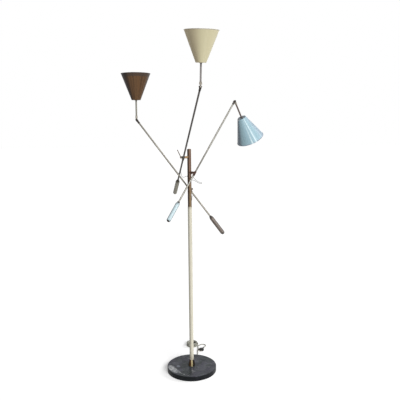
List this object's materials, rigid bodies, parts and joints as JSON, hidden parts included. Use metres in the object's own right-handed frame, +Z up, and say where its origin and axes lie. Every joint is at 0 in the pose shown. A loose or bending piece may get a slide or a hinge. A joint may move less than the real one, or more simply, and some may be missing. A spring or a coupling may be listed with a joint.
{
  "type": "multi-arm floor lamp",
  "caption": "Floor lamp with counterweighted tilting arms on a thin stem, conical shades on knuckles, a round marble base and a coiled mains lead.",
  "frame": {"origin": "middle of the base's underside, on the stem's axis", "axes": "+Z up along the stem; -Y is the front, the side the picture is taken from"},
  "size_m": [0.8761, 0.885, 1.9895],
  "materials": {
    "marble": "polished dark marble with thin pale veins",
    "felt": "pressed felt",
    "steel": "zinc plated",
    "aged_brass": "aged, darkened brass",
    "satin_brass": "dull greyish satin brass",
    "dark_brass": "dark tarnished brass",
    "pin_brass": "bright brass",
    "ivory_lacquer": "satin ivory lacquer",
    "fibre": "pressed fibre",
    "wire_grey": "grey insulated wire",
    "lead_olive": "olive grey lead",
    "dark_plastic": "black moulded plastic",
    "bulb_glass": "opal glass",
    "cream_shade": "spun shade, aged cream enamel outside",
    "cream_weight": "aged cream enamel",
    "blue_shade": "spun shade, aged blue enamel outside",
    "blue_weight": "aged blue enamel",
    "brown_shade": "spun shade, aged brown enamel outside",
    "brown_weight": "aged brown enamel"
  },
  "bodies": {
    "stand": {"base_slab": "marble", "base_felt": "felt", "base_washer": "steel", "base_nut": "steel", "tie_rod": "steel", "foot_ferrule": "aged_brass", "stem_tube_lower": "ivory_lacquer", "stem_tube_upper": "aged_brass", "stem_cap": "aged_brass", "stem_wire": "wire_grey", "arm_brackets": "aged_brass", "friction_washers": "fibre", "stem_bushes": "dark_plastic", "cord_gland": "dark_plastic", "mains_cord": "lead_olive", "cord_coil": "lead_olive", "plug_body": "dark_plastic", "plug_pins": "pin_brass", "jumper_wire_upper": "wire_grey", "jumper_wire_middle": "wire_grey", "jumper_wire_lower": "wire_grey"},
    "arm_upper": {"arm_clamp_upper": "aged_brass", "arm_tube_upper": "satin_brass", "counterweight_upper": "cream_weight", "weight_collar_upper": "dark_brass", "weight_nut_upper": "dark_brass", "head_fork_upper": "dark_brass", "knuckle_screw_upper": "dark_brass"},
    "lever_upper": {"lever_upper": "aged_brass"},
    "head_upper": {"head_tongue_upper": "dark_brass", "shade_rod_upper": "satin_brass", "shade_upper": "cream_shade", "lampholder_upper": "dark_plastic", "bulb_upper": "bulb_glass"},
    "arm_middle": {"arm_clamp_middle": "aged_brass", "arm_tube_middle": "satin_brass", "counterweight_middle": "blue_weight", "weight_collar_middle": "dark_brass", "weight_nut_middle": "dark_brass", "head_fork_middle": "dark_brass", "knuckle_screw_middle": "dark_brass"},
    "lever_middle": {"lever_middle": "aged_brass"},
    "head_middle": {"head_tongue_middle": "dark_brass", "shade_rod_middle": "satin_brass", "shade_middle": "blue_shade", "lampholder_middle": "dark_plastic", "bulb_middle": "bulb_glass"},
    "arm_lower": {"arm_clamp_lower": "aged_brass", "arm_tube_lower": "satin_brass", "counterweight_lower": "brown_weight", "weight_collar_lower": "dark_brass", "weight_nut_lower": "dark_brass", "head_fork_lower": "dark_brass", "knuckle_screw_lower": "dark_brass"},
    "lever_lower": {"lever_lower": "aged_brass"},
    "head_lower": {"head_tongue_lower": "dark_brass", "shade_rod_lower": "satin_brass", "shade_lower": "brown_shade", "lampholder_lower": "dark_plastic", "bulb_lower": "bulb_glass"}
  },
  "joints": [
    {"name": "arm_tilt_upper", "type": "hinge", "parent": "stand", "child": "arm_upper", "pos_m": [-0.03671, -0.00983, 1.3295], "axis": [0.9659, 0.2588, 0], "range_deg": [-2.5, 40], "deforming": ["jumper_wire_upper"]},
    {"name": "lever_turn_upper", "type": "hinge", "parent": "stand", "child": "lever_upper", "pos_m": [-0.0483, -0.01294, 1.3295], "axis": [0.9659, 0.2588, 0], "range_deg": [-60, 60]},
    {"name": "head_tilt_upper", "type": "hinge", "parent": "arm_upper", "child": "head_upper", "pos_m": [0.0623, -0.37934, 1.70861], "axis": [0.9659, 0.2588, 0], "range_deg": [-73.2, 150.8]},
    {"name": "arm_tilt_middle", "type": "hinge", "parent": "stand", "child": "arm_middle", "pos_m": [0.02427, -0.02924, 1.24], "axis": [-0.6388, 0.7694, 0], "range_deg": [-8, 40], "deforming": ["jumper_wire_middle"]},
    {"name": "lever_turn_middle", "type": "hinge", "parent": "stand", "child": "lever_middle", "pos_m": [0.03194, -0.03847, 1.24], "axis": [-0.6388, 0.7694, 0], "range_deg": [-60, 60]},
    {"name": "head_tilt_middle", "type": "hinge", "parent": "arm_middle", "child": "head_middle", "pos_m": [0.28425, 0.1866, 1.65939], "axis": [-0.6388, 0.7694, 0], "range_deg": [-223.4, 0.6]},
    {"name": "arm_tilt_lower", "type": "hinge", "parent": "stand", "child": "arm_lower", "pos_m": [0.01079, 0.03644, 1.1345], "axis": [-0.284, -0.9588, 0], "range_deg": [-1.5, 40], "deforming": ["jumper_wire_lower"]},
    {"name": "lever_turn_lower", "type": "hinge", "parent": "stand", "child": "lever_lower", "pos_m": [0.0142, 0.04794, 1.1345], "axis": [-0.284, -0.9588, 0], "range_deg": [-60, 60]},
    {"name": "head_tilt_lower", "type": "hinge", "parent": "arm_lower", "child": "head_lower", "pos_m": [-0.31668, 0.13344, 1.55093], "axis": [-0.284, -0.9588, 0], "range_deg": [-73.2, 150.8]}
  ]
}
